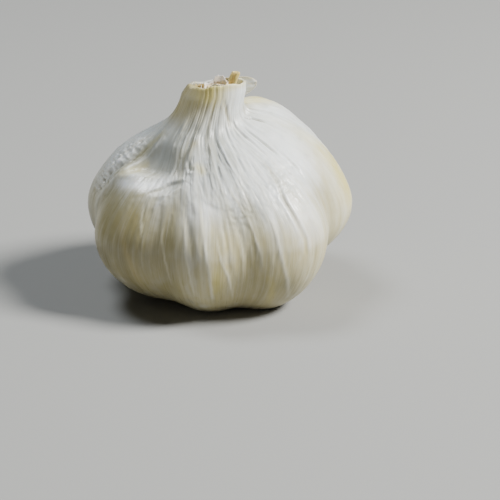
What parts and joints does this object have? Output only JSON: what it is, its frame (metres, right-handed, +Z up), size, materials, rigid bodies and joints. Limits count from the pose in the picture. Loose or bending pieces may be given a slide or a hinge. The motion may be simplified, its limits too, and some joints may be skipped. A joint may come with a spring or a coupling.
{
  "type": "garlic bulb",
  "caption": "Whole garlic bulb with rounded cloves under papery skin, a pleated cut neck with dry leaf bases, and a root plate underneath.",
  "frame": {"origin": "on the surface that the bulb stands on, under the centre of its bounding box", "axes": "+Z up through the neck; -Y is the side the picture shows; +X is to the right of that view, along the bulb's widest direction"},
  "size_m": [0.0578, 0.0534, 0.048],
  "materials": {
    "papery_skin": "satin, thin dry skin over pale flesh, with fine veins and straw-coloured stripes",
    "leaf_base": "matt, dry and fibrous",
    "inner_leaf_base": "matt, dry, faintly pink",
    "dry_stalk": "matt, dry and fibrous, ochre",
    "root_plate": "rough, woody and corky"
  },
  "bodies": {
    "root": {"bulb": "papery_skin", "outer_leaf_base": "leaf_base", "inner_leaf_base": "inner_leaf_base", "stalk": "dry_stalk", "dry_leaf_stub": "dry_stalk", "root_plate": "root_plate"}
  },
  "joints": []
}
